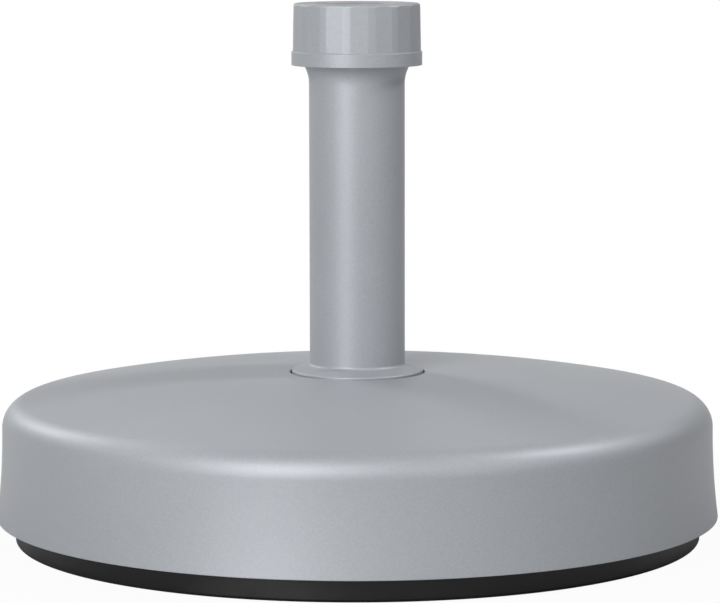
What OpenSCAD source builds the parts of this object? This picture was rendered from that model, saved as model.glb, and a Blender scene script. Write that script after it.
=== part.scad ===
// Parasol base: a concrete core in a black tray under a silver moulded hood, a tube that screws
// into the core, and a clamp nut that draws a slotted collet down onto the pole.
// Millimetres, Z up. The origin is on the ground under the middle, and the front faces -Y.

/* [Hood] */
// Outer diameter of the hood at its lip
base_d = 451.5; // [420:0.5:500]
// Height of the lip's lower face above the ground
lip_z = 15; // [11:0.5:18]
// Distance that the hollow wall's lip stands out beyond the rim
skirt_flare = 3.7; // [1:0.1:5]
// Height of the hood's top at its middle hole
crown_z = 103.9; // [98:0.1:112]
// Radius of the dome that the top follows from the hole to the rim
dome_r = 870; // [800:10:1600]
// Radius between the wall and the top
rim_round = 16.5; // [12:0.5:20]
// Thickness of the hood's skin
hood_wall = 3; // [2:0.25:4]
// Number of radial ribs under the hood
hood_ribs = 12; // [6:1:16]

/* [Core] */
// Height of the concrete's top face above the ground
ballast_top = 66; // [54:1:72]
// Corner radius at the foot of the tray
tray_round = 2; // [1.5:0.5:5]
// Radius of the plate that anchors the socket in the concrete
anchor_r = 62; // [50:1:90]

/* [Tube] */
// Outer diameter of the tube
tube_d = 59.5; // [58:0.5:62]
// Wall of the tube
tube_wall = 4; // [3.5:0.25:4.5]
// Height of the tube's upper end above the ground
tube_top = 326; // [280:1:420]
// Diameter of the flange at the tube's foot
flange_d = 82; // [78:0.5:90]
// Gap between the flange and the hole in the hood
flange_gap = 1.3; // [0.8:0.1:2.5]

/* [Clamp] */
// Diameter of the pole
pole_d = 38; // [34:0.5:40]
// Diameter across the nut's rounded corners, at the foot of its flats
nut_d = 79.9; // [79:0.1:86]
// Number of flats round the nut
nut_flats = 16; // [12:1:20]
// Share of the nut's circle that the flats take
flat_share = 0.69; // [0.5:0.01:0.8]
// Turn of the nut where it is tight, in degrees
nut_tight = 2.2; // [0:0.1:20]
// Number of fingers of the collet
collet_fingers = 6; // [4:1:8]
// Rise of the nut and of the tube in one turn of their threads
pitch = 6; // [4:0.5:8]

/* [Hidden] */
$fn = 128;
// Segments of the hood's two widest circles, of which only short arcs are used
wide_arc = 1440;

silver = [0.67, 0.68, 0.70];
black = [0.13, 0.13, 0.14];
concrete = [0.62, 0.61, 0.58];
charcoal = [0.22, 0.22, 0.23];

// Sliding gap between round faces of different pieces
play = 0.3;
// Overshoot of a rounding, so that its arc crosses the lines that it joins
blend = 0.02;
// Depth of both threads, whose turns fill the gaps left for them here
thread_h = 1.9;

// Hood: the rim rounding is tangent to the dome and to the wall, which is upright beside it
hole_r = flange_d / 2 + flange_gap;
dome_c = [hole_r, crown_z - dome_r];
rim_x = base_d / 2 - skirt_flare - rim_round;
rim_c = [rim_x, dome_c.y + sqrt(pow(dome_r - rim_round, 2) - pow(rim_x - hole_r, 2))];
dome_turn = asin((rim_x - hole_r) / (dome_r - rim_round));
skirt_h = rim_c.y - lip_z;
skirt_r = (skirt_h * skirt_h + skirt_flare * skirt_flare) / (2 * skirt_flare);
skirt_c = [rim_x + rim_round + skirt_r, rim_c.y];
lip_edge = 1;
lip_lean = asin((skirt_h - lip_edge) / (skirt_r + lip_edge));
lip_c = polar(skirt_c, skirt_r + lip_edge, 180 + lip_lean);
lip_in_r = base_d / 2 - 6;
rib_t = 2.5;
rib_z = ballast_top + 1;

// Tray: its wall stands inside the lip, and its bead reaches out just above it
tray_r = lip_in_r - 5.3;
tray_wall = 3;
floor_under = 2.5;
floor_top = floor_under + tray_wall;
bead = base_d / 2 - hood_wall - 1.4 - tray_r;
bead_z = lip_z + hood_wall + 0.4;
foot_w = 16;
hub_foot_r = 66;
drain_r = 6;
tray_ribs = 12;

// Socket: the tube's flange sits on its top face, and the hood's hole lies over its flange
seat_z = crown_z - hood_wall - 0.5;
tube_r = tube_d / 2;
bore_r = tube_r - tube_wall;
spigot_core_r = tube_r - 0.7;
guide_r = tube_r - 1.5;
socket_bore_r = spigot_core_r + thread_h + play + 0.1;
sleeve_r = socket_bore_r + 3.4;
socket_flange_r = hole_r + 5.5;
socket_flange_t = 3;
socket_floor = floor_top + 3;
anchor_z = floor_top + 11;
anchor_t = 4;
anchor_fins = 6;
hub_r = socket_flange_r + 2;

// Tube: foot, screw spigot, flange, straight shaft, flared head with a conical mouth
tube_foot = socket_floor + 3.5;
pole_stop = tube_foot + 6;
thread_turns = 4;
travel = pitch * thread_turns;
spigot_z = seat_z - travel - 4;
flange_rim = crown_z + 1.3;
flange_slope = 17.5;
flange_edge = 1;
flange_fillet = 2;
head_h = 30.3;
head_r = tube_r + 3;
flare_r = 20;
flare_turn = 23;
mouth_h = 24;
mouth_rise = 4.2;
mouth_z = tube_top - mouth_h;

// Collet: a cone in the tube's mouth, a shoulder under the nut and a rim that snaps through it
pole_r = pole_d / 2 + 0.1;
collet_foot = mouth_z + 1;
shoulder_z = tube_top + 2;
grip_top = mouth_z + 19;
hinge_r = pole_r + 2.6;
neck_r = bore_r - 1.8;
neck_in_r = pole_r + 1.1;
snap_z = shoulder_z + 4;
snap_h = 1.6;
snap_out = 1.2;
slot_w = 2.5;
slot_top = tube_top - 2;

// Nut: collar, flats with a slight draft, and a rounded top edge
nut_foot = tube_top - 30.3;
nut_top = tube_top + 8;
nut_bore_r = head_r + thread_h + play;
collar_r = nut_d / 2 + 0.65;
collar_top = nut_foot + 8.3;
flats_z = collar_top + 0.8;
nut_edge = 2;
nut_draft = 1;
flat_step = 360 / nut_flats;
flat_inset = nut_d / 2 * (1 - cos(flat_step * flat_share / 2));

// Foot ring: a sleeve with end rings and ribs, standing on the tube's floor
foot_ring_h = 40;
foot_ring_r = bore_r - play;
foot_sleeve = 2.4;
foot_ribs = 8;

// Point at a distance and an angle from a centre
function polar(centre, r, angle) = centre + r * [cos(angle), sin(angle)];

// Sharp corner whose rounding has this centre and radius
function corner(centre, r, from, to) = polar(centre, r / cos((to - from) / 2), (from + to) / 2);

// Wedge of the plane between two angles
module wedge(centre, reach, from, to) {
    polygon([
        centre,
        polar(centre, reach, from),
        polar(centre, reach, (from + to) / 2),
        polar(centre, reach, to),
    ]);
}

// Waste outside an arc that rounds a convex corner
module outside_arc(centre, r, from, to) {
    difference() {
        wedge(centre, 2 * r, from, to);
        translate(centre) circle(r + blend);
    }
}

// Waste inside an arc that hollows a concave corner
module inside_arc(centre, r, from, to) {
    slack = 10;
    intersection() {
        translate(centre) circle(r + blend);
        wedge(centre, 2 * r, from - slack, to + slack);
    }
}

// Straight ring between two radii
module ring(outer, inner, h) {
    difference() {
        cylinder(r = outer, h = h);
        translate([0, 0, -1]) cylinder(r = inner, h = h + 2);
    }
}

// Copies turned evenly about the vertical axis
module around(count, start = 0) {
    for (i = [0 : count - 1]) {
        rotate(start + 360 / count * i) children();
    }
}

// Half section of all that lies within the hood's skin, pulled in by an inset
module hood_side(inset) {
    difference() {
        intersection() {
            translate(dome_c) circle(dome_r - inset, $fn = wide_arc);
            translate([0, lip_z + inset]) square([base_d / 2 + 1, crown_z]);
        }
        translate(skirt_c) circle(skirt_r + inset, $fn = wide_arc);
        outside_arc(rim_c, rim_round - inset, 0, 90 - dome_turn);
    }
}

// Radial plates and a hub ring, tall enough to be trimmed by the hood's inside
module hood_ribbing() {
    around(hood_ribs, 180 / hood_ribs) {
        translate([hub_r + 1, -rib_t / 2, rib_z]) cube([base_d / 2, rib_t, crown_z]);
    }
    translate([0, 0, rib_z]) ring(hub_r + rib_t, hub_r, crown_z);
}

module hood() {
    color(silver) {
        rotate_extrude() difference() {
            hood_side(0);
            hood_side(hood_wall);
            square([hole_r, 2 * crown_z]);
            square([lip_in_r, lip_z + hood_wall + 1]);
            outside_arc(lip_c, lip_edge, -90, lip_lean);
        }
        intersection() {
            rotate_extrude() hood_side(hood_wall / 2);
            hood_ribbing();
        }
    }
}

// Half section of the tray: ring feet, rounded corner, snap bead and upright wall
module tray_side() {
    round_c = [tray_r - tray_round, tray_round];
    difference() {
        polygon([
            [drain_r, floor_under],
            [hub_foot_r - foot_w / 2, floor_under],
            [hub_foot_r - foot_w / 2, 0],
            [hub_foot_r, 0],
            [hub_foot_r, floor_under],
            [round_c.x - foot_w, floor_under],
            [round_c.x - foot_w, 0],
            [tray_r, 0],
            [tray_r, bead_z],
            [tray_r + bead, bead_z],
            [tray_r + bead, bead_z + bead / 2],
            [tray_r, bead_z + 2 * bead],
            [tray_r, ballast_top],
            [tray_r - tray_wall, ballast_top],
            [tray_r - tray_wall, floor_top],
            [drain_r, floor_top],
        ]);
        outside_arc(round_c, tray_round, -90, 0);
    }
}

module base_tray() {
    rib_clear = 0.5;
    rib_from = hub_foot_r - 1;
    rib_to = tray_r - tray_round - foot_w + 1;
    color(black) {
        rotate_extrude() tray_side();
        around(tray_ribs, 180 / tray_ribs) {
            translate([rib_from, -rib_t / 2, rib_clear]) {
                cube([rib_to - rib_from, rib_t, floor_under]);
            }
        }
    }
}

// Outside of the socket: sleeve, anchor plate with fins, and gusseted top flange
module anchor_body(grow) {
    fin_h = 22;
    fin_r = anchor_r - 6;
    gusset = socket_flange_r - sleeve_r - 1;
    flange_z = seat_z - socket_flange_t;
    translate([0, 0, floor_top]) cylinder(r = sleeve_r + grow, h = flange_z + 1 - floor_top);
    translate([0, 0, anchor_z - grow]) cylinder(r = anchor_r + grow, h = anchor_t + 2 * grow);
    translate([0, 0, flange_z]) cylinder(r = socket_flange_r + grow, h = socket_flange_t);
    around(anchor_fins, 90 / anchor_fins) {
        translate([sleeve_r - 1, -rib_t / 2 - grow, anchor_z]) {
            cube([fin_r - sleeve_r + 1 + grow, rib_t + 2 * grow, anchor_t + fin_h + grow]);
        }
    }
    around(anchor_fins, 270 / anchor_fins) {
        rotate([90, 0, 0]) translate([0, 0, -rib_t / 2]) linear_extrude(rib_t) {
            polygon([
                [sleeve_r - 1, flange_z + 1],
                [sleeve_r + gusset, flange_z + 1],
                [sleeve_r - 1, flange_z - 1.5 * gusset],
            ]);
        }
    }
}

module ballast() {
    cast_gap = 0.2;
    r = tray_r - tray_wall - cast_gap;
    chamfer = 3;
    color(concrete) difference() {
        rotate_extrude() polygon([
            [0, floor_top],
            [r, floor_top],
            [r, ballast_top - chamfer],
            [r - chamfer, ballast_top],
            [0, ballast_top],
        ]);
        anchor_body(cast_gap);
    }
}

module anchor_socket() {
    lead_in = 1;
    color(black) difference() {
        anchor_body(0);
        translate([0, 0, socket_floor]) cylinder(r = guide_r + play, h = seat_z);
        translate([0, 0, spigot_z - 2]) cylinder(r = socket_bore_r, h = seat_z);
        translate([0, 0, seat_z - lead_in]) {
            cylinder(r1 = socket_bore_r, r2 = socket_bore_r + 2 * lead_in, h = 2 * lead_in);
        }
        translate([0, 0, floor_top - 1]) cylinder(r = drain_r, h = seat_z);
    }
}

// Half section of the tube, with its flange edge, foot fillet and head flare as true arcs
module tube_side() {
    edge_dip = flange_edge * (1 / cos(flange_slope) - tan(flange_slope));
    edge_c = [flange_d / 2 - flange_edge, flange_rim - edge_dip];
    crease_z = flange_rim + (flange_d / 2 - tube_r) * tan(flange_slope);
    fillet_rise = flange_fillet * tan(45 - flange_slope / 2);
    fillet_c = [tube_r + flange_fillet, crease_z + fillet_rise];
    flare_end = tube_top - head_h;
    cone_out = head_r - tube_r - flare_r * (1 - cos(flare_turn));
    cone_h = cone_out / tan(flare_turn);
    flare_c = [tube_r + flare_r, flare_end - cone_h - flare_r * sin(flare_turn)];
    lead_in = 1;
    difference() {
        polygon([
            [drain_r + 3, tube_foot],
            [guide_r - lead_in, tube_foot],
            [guide_r, tube_foot + lead_in],
            [guide_r, spigot_z],
            [spigot_core_r, spigot_z + 1],
            [spigot_core_r, seat_z],
            [flange_d / 2, seat_z],
            [flange_d / 2, flange_rim],
            polar(fillet_c, flange_fillet, 270 - flange_slope),
            fillet_c,
            [tube_r, fillet_c.y],
            [tube_r, flare_c.y],
            flare_c,
            polar(flare_c, flare_r, 180 - flare_turn),
            [head_r, flare_end],
            [head_r, tube_top - lead_in],
            [head_r - lead_in, tube_top],
            [bore_r + mouth_rise, tube_top],
            [bore_r, mouth_z],
            [bore_r, pole_stop],
            [drain_r + 3, pole_stop],
        ]);
        outside_arc(edge_c, flange_edge, 0, 90 - flange_slope);
        inside_arc(fillet_c, flange_fillet, 180, 270 - flange_slope);
        inside_arc(flare_c, flare_r, 180 - flare_turn, 180);
    }
}

module stand_tube() {
    color(silver) rotate_extrude() tube_side();
}

module foot_ring() {
    end_h = 3;
    rib_w = 2;
    sleeve_out = pole_r + foot_sleeve;
    color(charcoal) translate([0, 0, pole_stop]) difference() {
        union() {
            cylinder(r = sleeve_out, h = foot_ring_h);
            cylinder(r = foot_ring_r, h = end_h);
            translate([0, 0, foot_ring_h - end_h]) cylinder(r = foot_ring_r, h = end_h);
            around(foot_ribs, 180 / foot_ribs) {
                translate([sleeve_out - 1, -rib_w / 2, 1]) {
                    cube([foot_ring_r - sleeve_out + 0.5, rib_w, foot_ring_h - 2]);
                }
            }
        }
        translate([0, 0, -1]) cylinder(r = pole_r, h = foot_ring_h + 2);
    }
}

// Half section of the collet: grip, thinned hinge, shoulder, neck and snap rim
module collet_side() {
    slope = mouth_rise / mouth_h;
    foot_out_r = bore_r + slope * (collet_foot - mouth_z) - play;
    shoulder_r = bore_r + slope * (shoulder_z - mouth_z) - play;
    polygon([
        [pole_r, collet_foot],
        [foot_out_r, collet_foot],
        [shoulder_r, shoulder_z],
        [neck_r, shoulder_z],
        [neck_r, snap_z],
        [neck_r + snap_out, snap_z],
        [neck_r + snap_out / 2, snap_z + snap_h],
        [neck_in_r + 0.6, snap_z + snap_h],
        [neck_in_r, snap_z + snap_h - 0.6],
        [neck_in_r, shoulder_z],
        [hinge_r, shoulder_z - 1],
        [hinge_r, grip_top + 2],
        [pole_r, grip_top],
    ]);
}

module collet() {
    color(silver) difference() {
        rotate_extrude() collet_side();
        around(collet_fingers, 180 / collet_fingers) {
            translate([0, -slot_w / 2, collet_foot - 1]) {
                cube([tube_r, slot_w, slot_top - collet_foot + 1]);
            }
            translate([0, 0, slot_top]) rotate([0, 90, 0]) cylinder(d = 1.6 * slot_w, h = tube_r);
        }
    }
}

// Half section of the nut before its flats are cut
module nut_side() {
    top_r = nut_d / 2 - (nut_top - flats_z) * tan(nut_draft);
    edge_c = [top_r - nut_edge, nut_top - nut_edge];
    shoulder_in_r = bore_r + mouth_rise + 1;
    snap_in_r = neck_r + snap_out + play;
    difference() {
        polygon([
            [nut_bore_r + 0.8, nut_foot],
            [collar_r - 0.3, nut_foot],
            [collar_r, nut_foot + 0.3],
            [collar_r, collar_top - 0.3],
            [collar_r - 0.3, collar_top],
            [nut_d / 2, flats_z - 0.4],
            corner(edge_c, nut_edge, nut_draft, 90),
            [snap_in_r + 0.8, nut_top],
            [snap_in_r, nut_top - 0.8],
            [snap_in_r, snap_z - 0.1],
            [neck_r + play, snap_z - 0.1],
            [neck_r + play, shoulder_z],
            [shoulder_in_r, shoulder_z],
            [shoulder_in_r, tube_top + 0.6],
            [nut_bore_r, tube_top + 0.6],
            [nut_bore_r, nut_foot + 0.8],
        ]);
        outside_arc(edge_c, nut_edge, nut_draft, 90);
    }
}

// Block whose inner face is one leaning flat of the nut
module flat_cutter() {
    depth = 5;
    translate([0, -nut_d / 2 + flat_inset, flats_z]) rotate([-nut_draft, 0, 0]) {
        translate([-nut_d / 4, -depth, 0]) cube([nut_d / 2, depth, nut_top]);
    }
}

module clamp_nut() {
    color(silver) difference() {
        rotate_extrude() nut_side();
        around(nut_flats, nut_tight) flat_cutter();
    }
}

hood();
base_tray();
ballast();
anchor_socket();
stand_tube();
foot_ring();
collet();
clamp_nut();
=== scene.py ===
# %% [markdown]
# # A parasol base, dressed over its solids
# The stand is a silver hood over a concrete core, a black tray under it, a tube that screws into
# the core and a clamp nut on the tube's head. The solids already hold every size and every joint.
# This lesson loads them as a fixed frame and then makes finer skins, threads and finishes that
# lie exactly where the solids are, so nothing has to be fitted afterwards.

import math

import bpy
import numpy as np
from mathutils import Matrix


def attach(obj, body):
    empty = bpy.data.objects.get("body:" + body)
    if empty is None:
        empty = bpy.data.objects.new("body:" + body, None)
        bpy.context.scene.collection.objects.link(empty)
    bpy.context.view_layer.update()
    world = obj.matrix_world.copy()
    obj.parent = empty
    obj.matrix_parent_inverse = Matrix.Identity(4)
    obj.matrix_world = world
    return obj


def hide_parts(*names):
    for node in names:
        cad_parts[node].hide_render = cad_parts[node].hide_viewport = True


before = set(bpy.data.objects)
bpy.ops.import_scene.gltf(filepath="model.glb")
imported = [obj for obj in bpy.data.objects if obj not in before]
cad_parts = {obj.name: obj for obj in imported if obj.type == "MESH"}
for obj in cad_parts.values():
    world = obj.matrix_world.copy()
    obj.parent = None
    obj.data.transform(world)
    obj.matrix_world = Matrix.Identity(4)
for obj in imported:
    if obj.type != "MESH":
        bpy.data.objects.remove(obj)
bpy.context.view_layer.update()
MM = 0.001

# %% [markdown]
# ## The camera
# The photograph was taken from about two metres with a long lens, a little above the hood: the
# outlines of the lip, the hole and the nut all agree on that. A long lens keeps the ellipses flat
# and the tube's sides parallel. The camera stands on the front side, -Y, and looks slightly down.
# It is rolled by a tenth of a degree, because the tube in the photograph leans a little to the left.

# %% Camera at the photograph's viewing angle
PHOTO_W = 720
SENSOR_W = 36.0
FOCAL_PX = 3541.9
CAMERA_FROM_AXIS = 2.2
CAMERA_UP = 0.4092
CAMERA_RIGHT = 0.0017
CAMERA_DOWN = math.radians(6.776)
CAMERA_ROLL = math.radians(0.1)

lens = bpy.data.cameras.new("photo_camera")
lens.sensor_width = SENSOR_W
lens.lens = FOCAL_PX * SENSOR_W / PHOTO_W
lens.clip_end = 100.0
camera = bpy.data.objects.new("photo_camera", lens)
bpy.context.scene.collection.objects.link(camera)
camera.location = (CAMERA_RIGHT, -CAMERA_FROM_AXIS, CAMERA_UP)
camera.rotation_mode = "ZXY"
camera.rotation_euler = (math.pi / 2 - CAMERA_DOWN, 0.0, -CAMERA_ROLL)
bpy.context.scene.camera = camera
print("lens in mm:", round(lens.lens, 1))

# %% [markdown]
# ## Outlines with rounded corners
# Every moulded piece here is a surface of revolution, so it starts as half a section in radius and
# height. It is easiest to write the sharp corners, each with the radius that rounds it, and let
# one function put the arcs in. A short straight run on each side of an arc keeps the smooth
# shading of the arc from creeping over the flat face next to it.

# %% Rounded outlines
ARC_STEP = math.radians(4.0)
HOLD = 0.35
HOLD_SHARE = 0.3


def rounded(corners):
    """Closed outline, in mm, from corners (radius, height, rounding).

    At a corner with opening angle a, the arc of radius q starts q / tan(a / 2) along each side,
    its centre lies q / sin(a / 2) along the bisector, and its points turn evenly about it.
    """
    table = np.array(corners, float)
    here = table[:, :2]
    back = np.roll(here, 1, axis=0) - here
    ahead = np.roll(here, -1, axis=0) - here
    back_len = np.linalg.norm(back, axis=1)
    ahead_len = np.linalg.norm(ahead, axis=1)
    back = back / back_len[:, None]
    ahead = ahead / ahead_len[:, None]
    opening = np.arccos(np.clip((back * ahead).sum(axis=1), -1.0, 1.0))
    reach = table[:, 2] / np.tan(opening / 2)
    room_back = back_len - reach - np.roll(reach, 1)
    room_ahead = ahead_len - reach - np.roll(reach, -1)
    if min(room_back.min(), room_ahead.min()) < -1e-6:
        raise ValueError("two roundings overlap on one side of an outline")
    runs = []
    for i, (point, q) in enumerate(zip(here, table[:, 2])):
        hold_back = min(HOLD, HOLD_SHARE * room_back[i])
        hold_ahead = min(HOLD, HOLD_SHARE * room_ahead[i])
        first = point + back[i] * reach[i]
        last = point + ahead[i] * reach[i]
        turn = math.pi - opening[i]
        steps = max(3, int(math.ceil(turn / ARC_STEP)) + 1)
        share = np.linspace(0.0, 1.0, steps)[:, None]
        bisector = (back[i] + ahead[i]) / np.linalg.norm(back[i] + ahead[i])
        centre = point + bisector * q / math.sin(opening[i] / 2)
        spread = np.sin((1 - share) * turn) * (first - centre) + np.sin(share * turn) * (last - centre)
        bend = centre + spread / math.sin(turn)
        runs += [first[None] + back[i] * hold_back, bend, last[None] + ahead[i] * hold_ahead]
    return np.concatenate(runs)


print("arc step in degrees:", math.degrees(ARC_STEP))

# %% [markdown]
# ## From a grid to a mesh
# A surface of revolution is a grid: one parameter runs along the outline and the other around the
# axis. The whole grid is worked out as one array, and its faces come from index arithmetic, so
# no loop runs over single points.

# %% Grids and their faces
COLUMNS = 288


def around_axis(outline, columns=COLUMNS):
    """Grid of points (outline, columns): the outline's radius turned through even angles."""
    angle = np.linspace(0.0, 2 * math.pi, columns, endpoint=False)
    radius = outline[:, 0][:, None]
    height = np.broadcast_to(outline[:, 1][:, None], (len(outline), columns))
    return np.stack([radius * np.cos(angle), radius * np.sin(angle), height], axis=2)


def ring_faces(rows, columns, close_rows=True):
    """Quads that join each grid point to its neighbours, with the columns closed on themselves."""
    row = np.arange(rows if close_rows else rows - 1)[:, None]
    column = np.arange(columns)[None, :]
    next_row = (row + 1) % rows
    next_column = (column + 1) % columns
    corners = [
        row * columns + column,
        row * columns + next_column,
        next_row * columns + next_column,
        next_row * columns + column,
    ]
    return np.stack(corners, axis=2).reshape(-1, 4)


def flat_shell(grid):
    """Points and quads of a grid that closes on itself both ways."""
    rows, columns = grid.shape[:2]
    return grid.reshape(-1, 3), ring_faces(rows, columns)


print("columns around the axis:", COLUMNS)

# %% [markdown]
# ## From arrays to a piece
# One helper fills a mesh with whole arrays and lets the piece ride on the body that carries it in
# the frame. The signed volume of a closed surface says whether its faces point outwards, so each
# shell is turned round where it has to be. Shading is smooth, apart from edges sharper than an
# angle that each piece may choose.

# %% Mesh helper
SHARP_ANGLE = 40.0


def signed_volume(points, faces):
    """Sum of the tetrahedra between the origin and each half quad, positive if faces look out."""
    a, b, c, d = (points[faces[:, i]] for i in range(4))
    first = (a * np.cross(b, c)).sum(axis=1)
    second = (a * np.cross(c, d)).sum(axis=1)
    return (first.sum() + second.sum()) / 6


def make_piece(name, shells, body, finish, replaced=None, sharp=SHARP_ANGLE):
    """One object from closed shells of (points in mm, quads), riding on a body."""
    all_points = []
    all_faces = []
    start = 0
    for points, faces in shells:
        if signed_volume(points, faces) < 0:
            faces = faces[:, ::-1]
        all_points.append(points)
        all_faces.append(faces + start)
        start += len(points)
    points = np.concatenate(all_points) * MM
    faces = np.concatenate(all_faces)
    mesh = bpy.data.meshes.new(name)
    mesh.vertices.add(len(points))
    mesh.vertices.foreach_set("co", points.ravel())
    mesh.loops.add(faces.size)
    mesh.loops.foreach_set("vertex_index", faces.ravel().astype(np.int32))
    mesh.polygons.add(len(faces))
    mesh.polygons.foreach_set("loop_start", np.arange(0, faces.size, 4, dtype=np.int32))
    mesh.update(calc_edges=True)
    mesh.validate()
    mesh.polygons.foreach_set("use_smooth", np.ones(len(mesh.polygons), bool))
    mesh.set_sharp_from_angle(angle=math.radians(sharp))
    mesh.materials.append(finish)
    piece = bpy.data.objects.new(name, mesh)
    bpy.context.scene.collection.objects.link(piece)
    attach(piece, body)
    if replaced:
        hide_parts(replaced)
    print(name, "quads:", len(faces), "highest in mm:", round(points[:, 2].max() / MM, 1))
    return piece


print("edges are sharp from, in degrees:", SHARP_ANGLE)

# %% [markdown]
# ## Node helpers for the finishes
# A finish is a small tree of nodes that reads the piece's own Object coordinates, in metres, so
# a pattern keeps its true size on every piece. One helper adds a node, sets its choices and joins
# its inputs, which keeps each finish short enough to read. Another starts a finish with its shader.

# %% Node helpers


def add(tree, kind, inputs=None, **choices):
    """New node of a kind, with its choices set and its inputs filled or linked."""
    made = tree.nodes.new(kind)
    for key, value in choices.items():
        setattr(made, key, value)
    for key, value in (inputs or {}).items():
        if isinstance(value, bpy.types.NodeSocket):
            tree.links.new(value, made.inputs[key])
        else:
            made.inputs[key].default_value = value
    return made


def start_finish(name):
    """Empty material with its tree, shader and Object coordinates."""
    material = bpy.data.materials.new(name)
    material.use_nodes = True
    tree = material.node_tree
    tree.nodes.clear()
    shader = add(tree, "ShaderNodeBsdfPrincipled")
    add(tree, "ShaderNodeOutputMaterial", {"Surface": shader.outputs["BSDF"]})
    place = add(tree, "ShaderNodeTexCoord").outputs["Object"]
    return material, tree, shader, place


print("node helpers:", add.__name__, start_finish.__name__)

# %% [markdown]
# Colours are written as display values, as a picture program shows them, and made linear for the
# shader. The other helpers are the few steps that every finish repeats: a noise, a change of range,
# a mix, a sum and a bump whose depth is given in metres.

# %% Colour and pattern helpers


def srgb(red, green, blue):
    """Linear colour with alpha from 0 to 255 display values, by the usual two-part curve."""
    share = np.array([red, green, blue]) / 255.0
    low = share / 12.92
    high = ((share + 0.055) / 1.055) ** 2.4
    return tuple(np.where(share <= 0.04045, low, high)) + (1.0,)


def noise(tree, place, scale, detail=2.0, rough=0.5):
    """Factor of a noise texture with a given number of features per metre."""
    inputs = {"Vector": place, "Scale": scale, "Detail": detail, "Roughness": rough}
    return add(tree, "ShaderNodeTexNoise", inputs).outputs["Fac"]


def span(tree, value, low, high, to_low, to_high):
    """Value carried from one range to another, held at both ends."""
    inputs = {"Value": value, 1: low, 2: high, 3: to_low, 4: to_high}
    return add(tree, "ShaderNodeMapRange", inputs).outputs["Result"]


def blend_colour(tree, share, colour_a, colour_b):
    """Mix of two colours, each a value or a socket, by a share."""
    inputs = {0: share, 6: colour_a, 7: colour_b}
    return add(tree, "ShaderNodeMix", inputs, data_type="RGBA").outputs[2]


def combine(tree, a, b, how="ADD"):
    """Sum of two values, or what another operation, such as a product, makes of them."""
    return add(tree, "ShaderNodeMath", {0: a, 1: b}, operation=how).outputs["Value"]


def bump(tree, height, depth, below=None):
    """Normal tilted by a height map whose full range is a depth in metres."""
    inputs = {"Height": height, "Distance": depth, "Strength": 1.0}
    if below is not None:
        inputs["Normal"] = below
    return add(tree, "ShaderNodeBump", inputs).outputs["Normal"]


print("mid grey in linear light:", round(float(srgb(128, 128, 128)[0]), 3))

# %% [markdown]
# ## Silver moulded plastic
# The hood, the tube and the nut are one plastic: grey with fine metal flake, in a mould with a
# spark-eroded satin grain. Seen close, flakes differ a little in brightness, and the grain breaks
# up the highlight. A cell pattern gives the flakes, two noises give the grain, and a slow cloud
# keeps the colour from being quite even, as on a real moulding.

# %% Silver finish
SILVER_LIGHT = np.array([170, 173, 178])
SILVER_DARK = np.array([157, 160, 165])
SILVER_ROUGH = (0.44, 0.54)
SILVER_IOR = 1.47
METAL_SHARE = 0.25
FLAKES_PER_M = 1300.0
FLAKE_WEIGHT = 0.6
CLOUDS_PER_M = 7.0
COARSE_PER_M = 900.0
COARSE_DEPTH = 0.000022
FINE_PER_M = 2600.0
FINE_DEPTH = 0.000008


def silver_finish(name, tone=1.0):
    """Grey flake plastic: cells for flakes, fine noise for the mould's grain."""
    material, tree, shader, place = start_finish(name)
    light = srgb(*(SILVER_LIGHT * tone))
    dark = srgb(*(SILVER_DARK * tone))
    flakes = add(tree, "ShaderNodeTexVoronoi", {"Vector": place, "Scale": FLAKES_PER_M})
    flake = add(tree, "ShaderNodeSeparateColor", {"Color": flakes.outputs["Color"]}).outputs[0]
    cloud = span(tree, noise(tree, place, CLOUDS_PER_M, 3.0), 0.3, 0.7, 0.0, 1.0)
    flake_part = combine(tree, flake, FLAKE_WEIGHT, "MULTIPLY")
    cloud_part = combine(tree, cloud, 1.0 - FLAKE_WEIGHT, "MULTIPLY")
    share = combine(tree, flake_part, cloud_part)
    tree.links.new(blend_colour(tree, share, dark, light), shader.inputs["Base Color"])
    coarse = noise(tree, place, COARSE_PER_M)
    fine = noise(tree, place, FINE_PER_M)
    rough = span(tree, combine(tree, coarse, flake), 0.4, 1.6, *SILVER_ROUGH)
    tree.links.new(rough, shader.inputs["Roughness"])
    grain = bump(tree, coarse, COARSE_DEPTH)
    grain = bump(tree, fine, FINE_DEPTH, grain)
    tree.links.new(grain, shader.inputs["Normal"])
    shader.inputs["Metallic"].default_value = METAL_SHARE
    shader.inputs["IOR"].default_value = SILVER_IOR
    return material


silver = silver_finish("silver_plastic")
print("made", silver.name)

# %% [markdown]
# ## Black and charcoal plastic
# The tray is a cheap black moulding with a dull shine, a coarser grain and pale scuffs. The socket
# and the foot ring are the same plastic, paler and more matt. One function makes all three from a
# display level and a roughness, so they stay one family.

# %% Black finish
BLACK_IOR = 1.48
BLOTCHES_PER_M = 40.0
SCUFFS_PER_M = 260.0
SCUFF_SHARE = 0.35
BLACK_GRAIN_PER_M = 700.0
BLACK_GRAIN_DEPTH = 0.00003


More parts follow.
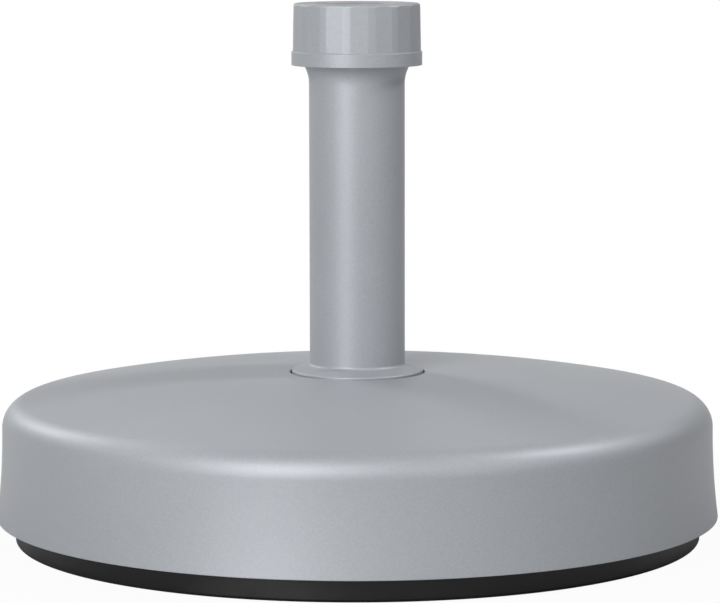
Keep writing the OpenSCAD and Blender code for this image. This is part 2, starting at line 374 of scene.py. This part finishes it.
def black_finish(name, level, roughness):
    """Dark plastic: soft blotches, coarse grain and thin scuffs."""
    material, tree, shader, place = start_finish(name)
    blotch = noise(tree, place, BLOTCHES_PER_M, 4.0)
    scuff = span(tree, noise(tree, place, SCUFFS_PER_M, 6.0, 0.7), 0.62, 0.78, 0.0, SCUFF_SHARE)
    deep = srgb(level, level, level * 1.03)
    pale = srgb(level * 1.35, level * 1.35, level * 1.4)
    worn = srgb(level * 1.9, level * 1.9, level * 1.95)
    base = blend_colour(tree, blotch, deep, pale)
    tree.links.new(blend_colour(tree, scuff, base, worn), shader.inputs["Base Color"])
    rough = span(tree, blotch, 0.3, 0.7, roughness - 0.05, roughness + 0.07)
    tree.links.new(rough, shader.inputs["Roughness"])
    grain = bump(tree, noise(tree, place, BLACK_GRAIN_PER_M, 3.0), BLACK_GRAIN_DEPTH)
    tree.links.new(grain, shader.inputs["Normal"])
    shader.inputs["IOR"].default_value = BLACK_IOR
    return material


tray_black = black_finish("tray_black", 10, 0.36)
socket_black = black_finish("socket_black", 34, 0.55)
charcoal = black_finish("charcoal_plastic", 52, 0.5)
print("made", tray_black.name, socket_black.name, charcoal.name)

# %% [markdown]
# ## Cast concrete
# The core is cast concrete, with sand, pores and cloudy patches, seen only if the stand is taken
# apart. Pores are the low end of a noise, so one pattern can darken the colour and lower the surface.

# %% Concrete finish
CEMENT_CLOUDS_PER_M = 18.0
SAND_PER_M = 420.0
SAND_SHARE = 0.3
PORES_PER_M = 190.0
CONCRETE_GRAIN_PER_M = 600.0
CONCRETE_DEPTH = 0.0003
CONCRETE_ROUGH = 0.9


def concrete_finish(name):
    """Cast concrete: cement clouds, sand cells and pores that are darker and deeper."""
    material, tree, shader, place = start_finish(name)
    cloud = noise(tree, place, CEMENT_CLOUDS_PER_M, 5.0, 0.6)
    sand = add(tree, "ShaderNodeTexVoronoi", {"Vector": place, "Scale": SAND_PER_M})
    tint = add(tree, "ShaderNodeSeparateColor", {"Color": sand.outputs["Color"]}).outputs[0]
    pores = span(tree, noise(tree, place, PORES_PER_M, 3.0), 0.30, 0.36, 1.0, 0.0)
    cement = blend_colour(tree, cloud, srgb(132, 130, 124), srgb(172, 170, 163))
    sandy = combine(tree, tint, SAND_SHARE, "MULTIPLY")
    speckled = blend_colour(tree, sandy, cement, srgb(196, 188, 172))
    tree.links.new(blend_colour(tree, pores, speckled, srgb(92, 90, 86)), shader.inputs["Base Color"])
    shader.inputs["Roughness"].default_value = CONCRETE_ROUGH
    height = combine(tree, noise(tree, place, CONCRETE_GRAIN_PER_M, 4.0), pores, "SUBTRACT")
    tree.links.new(bump(tree, height, CONCRETE_DEPTH), shader.inputs["Normal"])
    return material


concrete = concrete_finish("cast_concrete")
print("made", concrete.name)

# %% [markdown]
# ## Finishes for the solids that stay
# The core, the socket, the foot ring and the collet show their solids as they are, so they only get
# a finish. The collet is silver too, a shade darker than the hood.

# %% Finished solids
COLLET_TONE = 0.97
collet_grey = silver_finish("collet_plastic", COLLET_TONE)
carried_over = {
    "ballast": concrete,
    "anchor_socket": socket_black,
    "foot_ring": charcoal,
    "collet": collet_grey,
}
for node_name, finish in carried_over.items():
    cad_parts[node_name].data.materials.clear()
    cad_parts[node_name].data.materials.append(finish)
print("finished nodes:", sorted(carried_over))

# %% [markdown]
# ## The hood
# The hood is a thin shell. Its top is a shallow dome, its wall is a little hollow and stands out
# towards the lip, and a rounding joins the two. All three are arcs that touch: the rounding's
# centre lies on the dome's radius shortened by its own, and level with the centre of the wall's
# arc, so the wall is upright where it leaves the rim.

# %% Hood sizes and arcs
BASE_R = 225.75
LIP_Z = 15.0
SKIRT_FLARE = 3.7
CROWN_Z = 103.9
DOME_R = 870.0
RIM_ROUND = 16.5
HOOD_WALL = 3.0
HOLE_R = 42.3

dome_centre = np.array([HOLE_R, CROWN_Z - DOME_R])
rim_x = BASE_R - SKIRT_FLARE - RIM_ROUND
rim_z = dome_centre[1] + math.sqrt((DOME_R - RIM_ROUND) ** 2 - (rim_x - HOLE_R) ** 2)
rim_centre = np.array([rim_x, rim_z])
dome_turn = math.asin((rim_x - HOLE_R) / (DOME_R - RIM_ROUND))
skirt_h = rim_z - LIP_Z
skirt_r = (skirt_h ** 2 + SKIRT_FLARE ** 2) / (2 * SKIRT_FLARE)
skirt_centre = np.array([rim_x + RIM_ROUND + skirt_r, rim_z])
print("rim centre in mm:", np.round(rim_centre, 2), "wall arc radius in mm:", round(skirt_r, 1))

# %% [markdown]
# Each skin is the same three arcs in a row. The inside repeats those of the outside one wall
# thickness further in, so one function with an inset makes both.

# %% Hood skins
DOME_STEPS = 48
RIM_STEPS = 24
WALL_STEPS = 20


def arc(centre, radius, start, stop, steps):
    """Points at even angles, in radians from the outward direction, on a circle in the section."""
    angle = np.linspace(start, stop, steps)
    return centre + radius * np.stack([np.cos(angle), np.sin(angle)], axis=1)


def hood_skin(inset, low_z):
    """Dome, rim rounding and hollow wall moved in by an inset, from the hole down to a height.

    The dome and the rounding lose the inset from their radii. The wall's circle lies outside the
    hood and gains it.
    """
    quarter = math.pi / 2
    wall_turn = math.asin((rim_z - low_z) / (skirt_r + inset))
    dome = arc(dome_centre, DOME_R - inset, quarter, quarter - dome_turn, DOME_STEPS)
    rim = arc(rim_centre, RIM_ROUND - inset, quarter - dome_turn, 0.0, RIM_STEPS)
    wall = arc(skirt_centre, skirt_r + inset, math.pi, math.pi + wall_turn, WALL_STEPS)
    return np.concatenate([dome[:-1], rim, wall[1:]])


outer_skin = hood_skin(0.0, LIP_Z)
inner_skin = hood_skin(HOOD_WALL, LIP_Z + HOOD_WALL)
print("points on a skin:", len(outer_skin))

# %% [markdown]
# The two skins become one closed outline: down the outside, round the lip, in to the snap edge
# that holds the tray's bead, and back up the inside. Where the dome ends at the hole and the wall
# ends at the lip, a small bevel of three points softens the edge. A fourth point close before it
# keeps the shading of the bevel off the face, so the lip ends in a crisp line as in the photograph.

# %% Hood outline
LIP_IN_R = BASE_R - 6.0
FINE_EDGE = 0.4
LIP_EDGE = 0.3


def soft_end(run, beyond, edge):
    """Three points that round the corner between the end of a run and the next, and one before."""
    back = (run[-2] - run[-1]) / np.linalg.norm(run[-2] - run[-1])
    ahead = (beyond - run[-1]) / np.linalg.norm(beyond - run[-1])
    held = run[-1] + back * (edge + HOLD)
    first = run[-1] + back * edge
    last = run[-1] + ahead * edge
    middle = 0.5 * run[-1] + 0.25 * (first + last)
    return np.concatenate([run[:-1], [held, first, middle, last]])


lip_corner = np.array([LIP_IN_R, LIP_Z])
hole_foot = np.array([HOLE_R, CROWN_Z - HOOD_WALL])
outer_run = soft_end(soft_end(outer_skin, lip_corner, LIP_EDGE)[::-1], hole_foot, FINE_EDGE)[::-1]
snap_edge = np.array([
    [LIP_IN_R + FINE_EDGE, LIP_Z],
    [LIP_IN_R, LIP_Z + FINE_EDGE],
    [LIP_IN_R, LIP_Z + HOOD_WALL - FINE_EDGE],
    [LIP_IN_R + FINE_EDGE, LIP_Z + HOOD_WALL],
])
hood_outline = np.concatenate([outer_run, snap_edge, inner_skin[::-1]])
print("points on the hood's outline:", len(hood_outline))

# %% [markdown]
# Under the top, a hub ring round the hole and twelve radial ribs stiffen the hood, and rest close
# above the concrete. They reach into the middle of the skin, so they join it without a gap.

# %% Hood with its ribs
BALLAST_TOP = 66.0
RIB_Z = BALLAST_TOP + 1.0
RIB_T = 2.5
RIB_SINK = 1.0
RIB_END = 4.0
HOOD_RIBS = 12
HUB_R = HOLE_R + 7.5
HUB_EDGE = 0.3
HUB_COLUMNS = 96


def plates(count, turn, near, far, low, high, width):
    """Upright radial plates as closed boxes: count copies of eight corners turned about the axis."""
    corner = np.array([[x, y, z] for z in (0, 1) for x, y in ((0, 0), (1, 0), (1, 1), (0, 1))], float)
    radius = near + (far - near) * corner[:, 0]
    side = width * (corner[:, 1] - 0.5)
    top = np.where(corner[:, 0] > 0.5, high[1], high[0])
    height = np.where(corner[:, 2] > 0.5, top, low)
    angle = math.radians(turn) + np.arange(count)[:, None] * 2 * math.pi / count
    x = radius * np.cos(angle) - side * np.sin(angle)
    y = radius * np.sin(angle) + side * np.cos(angle)
    z = np.broadcast_to(height, x.shape)
    box = np.array([[3, 2, 1, 0], [4, 5, 6, 7], [0, 1, 5, 4], [1, 2, 6, 5], [2, 3, 7, 6], [3, 0, 4, 7]])
    points = np.stack([x, y, z], axis=2)
    return [(points[i], box) for i in range(count)]


def under_top(radius):
    """Height of the middle of the hood's top skin at a radius, on its dome."""
    return dome_centre[1] + math.sqrt((DOME_R - HOOD_WALL / 2) ** 2 - (radius - HOLE_R) ** 2)


rib_near = HUB_R + RIB_SINK
rib_far = rim_x - RIB_END
rib_tops = (under_top(rib_near), under_top(rib_far))
hub_top = under_top(HUB_R + RIB_T)
hub_outline = rounded([
    (HUB_R, RIB_Z, HUB_EDGE),
    (HUB_R + RIB_T, RIB_Z, HUB_EDGE),
    (HUB_R + RIB_T, hub_top, HUB_EDGE),
    (HUB_R, hub_top, HUB_EDGE),
])
hood_shells = [flat_shell(around_axis(hood_outline)), flat_shell(around_axis(hub_outline, HUB_COLUMNS))]
hood_shells += plates(HOOD_RIBS, 180 / HOOD_RIBS, rib_near, rib_far, RIB_Z, rib_tops, RIB_T)
make_piece("hood_shell", hood_shells, "base", silver, "hood")

# %% [markdown]
# ## The tray
# Only a dark band of the tray shows under the lip. Its foot is rounded, a bead above the lip holds
# the hood on, and rings and ribs on the underside keep the wide floor flat on the ground.

# %% Tray
TRAY_R = LIP_IN_R - 5.3
TRAY_WALL = 3.0
TRAY_ROUND = 2.0
FLOOR_UNDER = 2.5
FLOOR_TOP = FLOOR_UNDER + TRAY_WALL
BEAD_PLAY = 1.4
BEAD = BASE_R - HOOD_WALL - BEAD_PLAY - TRAY_R
BEAD_Z = LIP_Z + HOOD_WALL + 0.4
FOOT_W = 16.0
HUB_FOOT_R = 66.0
DRAIN_R = 6.0
TRAY_RIBS = 12
TRAY_COLUMNS = 240
RIB_CLEAR = 0.5

foot_in_r = TRAY_R - TRAY_ROUND - FOOT_W
tray_outline = rounded([
    (DRAIN_R, FLOOR_UNDER, FINE_EDGE),
    (HUB_FOOT_R - FOOT_W / 2, FLOOR_UNDER, FINE_EDGE),
    (HUB_FOOT_R - FOOT_W / 2, 0.0, FINE_EDGE),
    (HUB_FOOT_R, 0.0, FINE_EDGE),
    (HUB_FOOT_R, FLOOR_UNDER, FINE_EDGE),
    (foot_in_r, FLOOR_UNDER, FINE_EDGE),
    (foot_in_r, 0.0, FINE_EDGE),
    (TRAY_R, 0.0, TRAY_ROUND),
    (TRAY_R, BEAD_Z, FINE_EDGE),
    (TRAY_R + BEAD, BEAD_Z, FINE_EDGE),
    (TRAY_R + BEAD, BEAD_Z + BEAD / 2, FINE_EDGE),
    (TRAY_R, BEAD_Z + 2 * BEAD, FINE_EDGE),
    (TRAY_R, BALLAST_TOP, FINE_EDGE),
    (TRAY_R - TRAY_WALL, BALLAST_TOP, FINE_EDGE),
    (TRAY_R - TRAY_WALL, FLOOR_TOP, FINE_EDGE),
    (DRAIN_R, FLOOR_TOP, FINE_EDGE),
])
rib_under = FLOOR_UNDER + RIB_CLEAR
tray_shells = [flat_shell(around_axis(tray_outline, TRAY_COLUMNS))]
tray_shells += plates(
    TRAY_RIBS,
    180 / TRAY_RIBS,
    HUB_FOOT_R - RIB_SINK,
    foot_in_r + RIB_SINK,
    RIB_CLEAR,
    (rib_under, rib_under),
    RIB_T,
)
make_piece("tray_shell", tray_shells, "base", tray_black, "base_tray")

# %% [markdown]
# ## The tube
# The tube is one long moulding: a spigot that screws into the core, a flange that sits in the
# hood's hole and falls away like a low cone, a straight shaft and a head that flares out under
# the nut. The fillets at the flange and the flare catch the light, so they are true arcs.

# %% Tube
TUBE_R = 29.75
BORE_R = 25.75
TUBE_FOOT = 12.0
POLE_STOP = 18.0
GUIDE_R = 28.25
SPIGOT_R = 29.05
SPIGOT_Z = 72.4
SPIGOT_BEVEL = 1.0
SEAT_Z = 100.4
FLANGE_R = 41.0
FLANGE_RIM_Z = 105.2
FLANGE_SLOPE = math.radians(17.5)
FLANGE_EDGE = 1.0
FLANGE_FILLET = 2.0
EDGE = 0.8
HEAD_R = 32.75
HEAD_Z = 295.7
TUBE_TOP = 326.0
FLARE_TURN = math.radians(23.0)
FLARE_FILLET = 20.0
MOUTH_R = 29.95
MOUTH_Z = 302.0
TUBE_DRAIN_R = DRAIN_R + 3
TUBE_COLUMNS = 192

flange_foot_z = FLANGE_RIM_Z + (FLANGE_R - TUBE_R) * math.tan(FLANGE_SLOPE)
flare_foot_z = HEAD_Z - (HEAD_R - TUBE_R) / math.tan(FLARE_TURN)
tube_outline = rounded([
    (TUBE_DRAIN_R, TUBE_FOOT, FINE_EDGE),
    (GUIDE_R, TUBE_FOOT, EDGE),
    (GUIDE_R, SPIGOT_Z, FINE_EDGE),
    (SPIGOT_R, SPIGOT_Z + SPIGOT_BEVEL, FINE_EDGE),
    (SPIGOT_R, SEAT_Z, FINE_EDGE),
    (FLANGE_R, SEAT_Z, FINE_EDGE),
    (FLANGE_R, FLANGE_RIM_Z, FLANGE_EDGE),
    (TUBE_R, flange_foot_z, FLANGE_FILLET),
    (TUBE_R, flare_foot_z, FLARE_FILLET),
    (HEAD_R, HEAD_Z, EDGE),
    (HEAD_R, TUBE_TOP, EDGE),
    (MOUTH_R, TUBE_TOP, FINE_EDGE),
    (BORE_R, MOUTH_Z, FINE_EDGE),
    (BORE_R, POLE_STOP, FINE_EDGE),
    (TUBE_DRAIN_R, POLE_STOP, FINE_EDGE),
])
tube_shells = [flat_shell(around_axis(tube_outline, TUBE_COLUMNS))]
make_piece("tube_shell", tube_shells, "tube", silver, "stand_tube")

# %% [markdown]
# ## The clamp nut
# The nut is a slightly conical round body with sixteen flats milled into its mould, so that
# narrow rounded strips stay between them. A plain collar is left below the flats. Its outline
# comes first, as for the other pieces.

# %% Nut outline
NUT_R = 39.95
NUT_FOOT = 295.7
NUT_TOP = 334.0
COLLAR_R = 40.6
COLLAR_TOP = 304.0
FLATS_Z = 304.8
NUT_EDGE = 2.0
COLLAR_EDGE = 0.25
CREASE_EDGE = 0.1
CREASE_DROP = 0.4
HEAD_PLAY = 0.6
NUT_DRAFT = math.radians(1.0)
NUT_BORE_R = 34.95
SHOULDER_Z = 328.0
SHOULDER_R = 30.95
NECK_R = 24.25
SNAP_R = 25.45
SNAP_Z = 331.9

top_r = NUT_R - (NUT_TOP - FLATS_Z) * math.tan(NUT_DRAFT)
nut_outline = rounded([
    (NUT_BORE_R, NUT_FOOT, EDGE),
    (COLLAR_R, NUT_FOOT, COLLAR_EDGE),
    (COLLAR_R, COLLAR_TOP, COLLAR_EDGE),
    (NUT_R, FLATS_Z - CREASE_DROP, CREASE_EDGE),
    (top_r, NUT_TOP, NUT_EDGE),
    (SNAP_R, NUT_TOP, EDGE),
    (SNAP_R, SNAP_Z, FINE_EDGE),
    (NECK_R, SNAP_Z, FINE_EDGE),
    (NECK_R, SHOULDER_Z, FINE_EDGE),
    (SHOULDER_R, SHOULDER_Z, FINE_EDGE),
    (SHOULDER_R, TUBE_TOP + HEAD_PLAY, FINE_EDGE),
    (NUT_BORE_R, TUBE_TOP + HEAD_PLAY, FINE_EDGE),
])
print("nut radius at its top in mm:", round(top_r, 2))

# %% [markdown]
# On the grid the flats are one rule: a point keeps its own radius unless the flat's plane lies
# nearer, and the plane is at its distance over the cosine of the angle from the flat's middle.
# Columns are set closer where flat and strip meet, so that the edge stays crisp. Two rows close
# together make the small ledge on which the flats end above the collar.

# %% Nut with its flats
NUT_FLATS = 16
FLAT_SHARE = 0.69
NUT_TIGHT = math.radians(2.2)
NUT_SHARP = 60.0
FLAT_COLUMNS = 7
STRIP_COLUMNS = 5
CRISP_SHARE = 0.035
LEDGE_HALF = 0.02
LEDGE_STEP = 0.001
TINY = 1e-9

flat_step = 2 * math.pi / NUT_FLATS
flat_half = flat_step * FLAT_SHARE / 2
flat_distance = NUT_R * math.cos(flat_half)


def nut_grid(outline):
    """Grid of the nut: the smaller of the outline's radius and the radius of the flat's plane.

    The plane's radius is its distance, less the draft, over the cosine of the angle off its middle.
    """
    crisp = CRISP_SHARE * flat_half
    on_flat = np.linspace(-flat_half + crisp, flat_half - crisp, FLAT_COLUMNS)
    on_strip = np.linspace(flat_half + crisp, flat_step - flat_half - crisp, STRIP_COLUMNS)
    one_step = np.concatenate([on_flat, [flat_half], on_strip, [flat_step - flat_half]])
    offset = np.tile(one_step, NUT_FLATS)
    middle = np.repeat(np.arange(NUT_FLATS) * flat_step, len(one_step))
    nearest = np.mod(offset + flat_half, flat_step) - flat_half
    plane = flat_distance - (outline[:, 1] - FLATS_Z) * math.tan(NUT_DRAFT)
    cut = plane[:, None] / np.cos(nearest)[None, :]
    above = (outline[:, 1] > FLATS_Z)[:, None] & (np.abs(nearest) <= flat_half + TINY)[None, :]
    own = np.broadcast_to(outline[:, 0][:, None], cut.shape)
    radius = np.where(above, np.minimum(own, cut), own)
    angle = -math.pi / 2 + NUT_TIGHT + middle + offset
    height = np.broadcast_to(outline[:, 1][:, None], cut.shape)
    return np.stack([radius * np.cos(angle), radius * np.sin(angle), height], axis=2)


ledge = np.array([[NUT_R, FLATS_Z - LEDGE_HALF], [NUT_R - LEDGE_STEP, FLATS_Z + LEDGE_HALF]])
below = nut_outline[:, 1] < FLATS_Z - LEDGE_HALF
outside = nut_outline[:, 0] > (NUT_BORE_R + NUT_R) / 2
last_below = np.nonzero(below & outside)[0].max()
nut_rows = np.insert(nut_outline, last_below + 1, ledge, axis=0)
nut_shells = [flat_shell(nut_grid(nut_rows))]
make_piece("nut_shell", nut_shells, "nut", silver, "clamp_nut", NUT_SHARP)

# %% [markdown]
# ## The threads
# The nut runs on the tube's head and the tube's spigot runs in the socket, on right-hand threads
# of six millimetres rise to a turn. A thread is a profile carried along a helix: a trapezoid whose
# root is sunk into its wall and whose depth swells from nothing over the first part of a turn.

# %% Ridge along a helix
PITCH = 6.0
THREAD_DEPTH = 1.6
THREAD_SINK = 0.4
ROOT_W = 2.9
CREST_W = 1.3
PER_TURN = 72
RUN_OUT = 0.4
LEAST_SWELL = 0.02


def thread_shell(wall_r, outward, low, high, phase):
    """Closed ridge along a helix: (path steps, six profile points), ends drawn to nothing.

    The path climbs one pitch a turn. The profile's radius is the wall's plus or minus the depth at
    the crest, its half width falls from root to crest, and both shrink to zero at the ends.
    """
    turns = (high - low) / PITCH
    t = np.linspace(0.0, turns, int(turns * PER_TURN) + 1)
    swell = np.clip(np.minimum(t, turns - t) / RUN_OUT, LEAST_SWELL, 1.0)[:, None]
    depth = np.array([-THREAD_SINK, 0.0, THREAD_DEPTH, THREAD_DEPTH, 0.0, -THREAD_SINK])
    half = 0.5 * np.array([-ROOT_W, -ROOT_W, -CREST_W, CREST_W, ROOT_W, ROOT_W])
    out = np.where(depth > 0, depth * swell, depth)
    radius = wall_r + outward * out
    height = low + t[:, None] * PITCH + half * np.sqrt(swell)
    angle = t[:, None] * 2 * math.pi + phase
    points = np.stack([radius * np.cos(angle), radius * np.sin(angle), height], axis=2)
    rows, columns = points.shape[:2]
    sides = ring_faces(rows, columns, close_rows=False)
    first = np.array([[0, 1, 2, 5], [5, 2, 3, 4]])
    last = (rows - 1) * columns + first[:, ::-1]
    return points.reshape(-1, 3), np.concatenate([sides, first, last])


print("rise of a turn in mm:", PITCH)

# %% [markdown]
# The inner and outer threads of a pair are half a pitch apart, so their turns interleave, and they
# stay interleaved at every pose because the joints tie turn to rise.

# %% The four threads
THREAD_SHARP = 25.0


def turn_at(height):
    """Angle at which a helix through zero reaches a height, so that pairs share one screw line."""
    return 2 * math.pi * height / PITCH


def paired_thread(name, wall_r, outward, low, high, half_pitch, body, slot, finish):
    """One thread whose place on the screw line is fixed by its height, or by half a pitch more."""
    phase = turn_at(low) + (math.pi if half_pitch else 0.0)
    shell = thread_shell(wall_r, outward, low, high, phase)
    make_piece(name, [shell], body, finish, None, THREAD_SHARP)


HEAD_THREAD = (HEAD_Z + 3.0, TUBE_TOP - 2.5)
NUT_THREAD = (NUT_FOOT + 3.0, TUBE_TOP - 1.5)
SPIGOT_THREAD = (SPIGOT_Z + 3.0, SEAT_Z - 3.5)
SOCKET_THREAD = (SPIGOT_Z + 1.5, SEAT_Z - 4.0)
SOCKET_BORE_R = 31.35
paired_thread("head_thread", HEAD_R, 1, *HEAD_THREAD, False, "tube", "tube_plastic", silver)
paired_thread("nut_thread", NUT_BORE_R, -1, *NUT_THREAD, True, "nut", "nut_plastic", silver)
paired_thread("spigot_thread", SPIGOT_R, 1, *SPIGOT_THREAD, False, "tube", "tube_plastic", silver)
paired_thread(
    "socket_thread", SOCKET_BORE_R, -1, *SOCKET_THREAD, True, "base", "socket_plastic", socket_black
)

# %% [markdown]
# ## Floor, world and lights
# The photograph has a plain white ground. To the lamps the floor is a grey sheet, so it throws
# little light back at the stand, and to the camera it glows white. Close to the stand the glow
# leaves a small share to the sheet, which keeps the soft shadow on the ground. To mirror rays the
# glow fades out towards the stand, a painted shade round its foot: close by they see only the sheet and
# further out mostly white, so the tray's band stays black.

# %% Floor
FLOOR_SIZE = 30.0
FLOOR_GREY = 0.4
FLOOR_ROUGH = 0.9
GLOW_FROM = 0.25
CAMERA_GLOW_TO = 0.55
MIRROR_GLOW_TO = 0.38
NEAR_WHITE = 0.96
FAR_MIRROR = 0.65


def floor_finish(name):
    """Grey sheet with a white glow that grows with distance: strong to the camera, part to mirrors,
    whose fade near the stand is a painted shade.
    """
    material, tree, shader, place = start_finish(name)
    shader.inputs["Base Color"].default_value = (FLOOR_GREY, FLOOR_GREY, FLOOR_GREY, 1.0)
    shader.inputs["Roughness"].default_value = FLOOR_ROUGH
    glow = add(tree, "ShaderNodeEmission", {"Color": (1.0, 1.0, 1.0, 1.0), "Strength": 1.0})
    path = add(tree, "ShaderNodeLightPath")
    away = add(tree, "ShaderNodeVectorMath", {0: place}, operation="LENGTH").outputs["Value"]
    straight = span(tree, away, GLOW_FROM, CAMERA_GLOW_TO, NEAR_WHITE, 1.0)
    # Painted shade: to mirror rays the white glow is nil close to the stand and grows outwards.
    mirror_glow_painted_shade = span(tree, away, GLOW_FROM, MIRROR_GLOW_TO, 0.0, FAR_MIRROR)
    mirror = combine(tree, path.outputs["Is Glossy Ray"], path.outputs["Is Transmission Ray"], "MAXIMUM")
    share = combine(tree, path.outputs["Is Camera Ray"], straight, "MULTIPLY")
    share = combine(tree, share, combine(tree, mirror, mirror_glow_painted_shade, "MULTIPLY"), "MAXIMUM")
    both = add(tree, "ShaderNodeMixShader", {0: share, 1: shader.outputs["BSDF"], 2: glow.outputs[0]})
    output = next(n for n in tree.nodes if n.type == "OUTPUT_MATERIAL")
    tree.links.new(both.outputs[0], output.inputs["Surface"])
    return material


half = FLOOR_SIZE / 2
floor_mesh = bpy.data.meshes.new("floor")
floor_corners = [(-half, -half, 0.0), (half, -half, 0.0), (half, half, 0.0), (-half, half, 0.0)]
floor_mesh.from_pydata(floor_corners, [], [(0, 1, 2, 3)])
floor_mesh.materials.append(floor_finish("pale_floor"))
floor = bpy.data.objects.new("floor", floor_mesh)
bpy.context.scene.collection.objects.link(floor)
print("floor side in m:", FLOOR_SIZE)

# %% [markdown]
# Satin plastic shows the room. The camera sees plain white all round. Mirror rays see a studio: a
# band at the horizon that is white in front and behind and greyer at the sides, dark walls above
# it, a white screen higher up and a grey ceiling. To all other rays the world is nearly dark, with
# a soft light overhead, so the lamps do most of the work. Heights are given as the upward part of
# a direction of length one, and the sides as its part along X.

# %% World
AMBIENT = 0.01
OVERHEAD = 0.3
OVERHEAD_RISE = (0.50, 0.85)
UPPER_WALL = 0.12
UPPER_RISE = (0.08, 0.20)
SIDE_WALL = 0.3
SIDE_REACH = (0.3, 0.8)
SCREEN_RISE = (0.30, 0.45)
CEILING = 0.35
CEILING_RISE = (0.65, 0.85)
world = bpy.data.worlds.new("studio")
bpy.context.scene.world = world
world.use_nodes = True
sky = world.node_tree
sky.nodes.clear()
path = add(sky, "ShaderNodeLightPath")
mirror = combine(sky, path.outputs["Is Glossy Ray"], path.outputs["Is Transmission Ray"], "MAXIMUM")
looking = add(sky, "ShaderNodeTexCoord").outputs["Generated"]
way = add(sky, "ShaderNodeSeparateXYZ", {0: looking}).outputs
rise = way["Z"]
aside = add(sky, "ShaderNodeMath", {0: way["X"]}, operation="ABSOLUTE").outputs["Value"]
wall_level = span(sky, rise, *UPPER_RISE, 1.0, UPPER_WALL)
side_level = span(sky, aside, *SIDE_REACH, 1.0, SIDE_WALL)
wall_level = combine(sky, wall_level, side_level, "MULTIPLY")
screen = span(sky, rise, *SCREEN_RISE, wall_level, 1.0)
studio = span(sky, rise, *CEILING_RISE, screen, CEILING)
lighting = span(sky, rise, *OVERHEAD_RISE, AMBIENT, OVERHEAD)
shown = span(sky, mirror, 0.0, 1.0, lighting, studio)
strength = span(sky, path.outputs["Is Camera Ray"], 0.0, 1.0, shown, 1.0)
backdrop = add(sky, "ShaderNodeBackground", {"Color": (1.0, 1.0, 1.0, 1.0), "Strength": strength})
add(sky, "ShaderNodeOutputWorld", {"Surface": backdrop.outputs[0]})
print("light level low down:", AMBIENT, "and overhead:", OVERHEAD)

# %% [markdown]
# A square lamp gives a soft shadow whose width grows with the lamp's side. A lamp shines against
# its own third axis, so it is aimed by turning that axis away from the stand and keeping the first
# one level.

# %% Lamp helper
AIM = np.array([0.0, 0.0, 0.12])
LAMP_DISTANCE = 2.5


def matrix_angles(m):
    """Angles about X, Y and Z of a rotation matrix, by the usual inverse formulas."""
    y = -math.asin(max(-1.0, min(1.0, m[2, 0])))
    return math.atan2(m[2, 1], m[2, 2]), y, math.atan2(m[1, 0], m[0, 0])


def soft_lamp(name, azimuth, elevation, size, power):
    """Square lamp aimed at the object: azimuth 0 is the camera's side, positive to its right.

    Azimuth and elevation are in degrees, the side of the square in metres, the power in watts.
    """
    turn = math.radians(azimuth)
    rise = math.radians(elevation)
    way = np.array([math.sin(turn) * math.cos(rise), -math.cos(turn) * math.cos(rise), math.sin(rise)])
    lamp = bpy.data.lights.new(name, "AREA")
    lamp.shape = "SQUARE"
    lamp.size = size
    lamp.energy = power
    holder = bpy.data.objects.new(name, lamp)
    bpy.context.scene.collection.objects.link(holder)
    holder.location = AIM + way * LAMP_DISTANCE
    right = np.cross([0.0, 0.0, 1.0], way)
    right = right / np.linalg.norm(right)
    up = np.cross(way, right)
    turn_matrix = np.stack([right, up, way], axis=1)
    holder.rotation_euler = tuple(matrix_angles(turn_matrix))
    return holder


print("lamps stand off in m:", LAMP_DISTANCE)

# %% [markdown]
# Eight square lamps light the stand. Three stand at the front left, one above the other: a high
# one, the main front lamp, and a low one whose gleam lies on the tray's black band. A weak one
# fills in from the front right. One on the right and two behind on the left throw the tube's two
# faint shadows across the hood, as in the photograph, and the softer of the two also draws the
# highlight on the rim's left end. One behind keeps the back from falling dark. The last two are
# hidden from mirror rays, so they leave no streak on the hood's top.

# %% Lamps
lamps = [
    ("key_lamp", -24.0, 43.0, 1.2, 10.5),
    ("front_lamp", -26.0, 25.0, 1.25, 33.5),
    ("low_lamp", -28.0, 4.0, 0.55, 9.0),
    ("right_front_lamp", 34.0, 20.0, 1.2, 4.8),
    ("right_lamp", 88.0, 48.0, 0.4, 18.0),
    ("left_lamp", -134.0, 28.0, 0.7, 12.0),
]
for lamp in lamps:
    soft_lamp(*lamp)
matt_lamps = [
    ("left_back_lamp", -141.0, 30.0, 0.3, 15.0),
    ("back_lamp", 172.0, 7.0, 1.0, 22.0),
]
for lamp in matt_lamps:
    soft_lamp(*lamp).visible_glossy = False
print("lamps:", [lamp[0] for lamp in lamps + matt_lamps])

# %% [markdown]
# ## Finish
# The display transform is the plain one, so a colour renders about as it is written.

# %% Display transform
bpy.context.scene.view_settings.view_transform = "Standard"
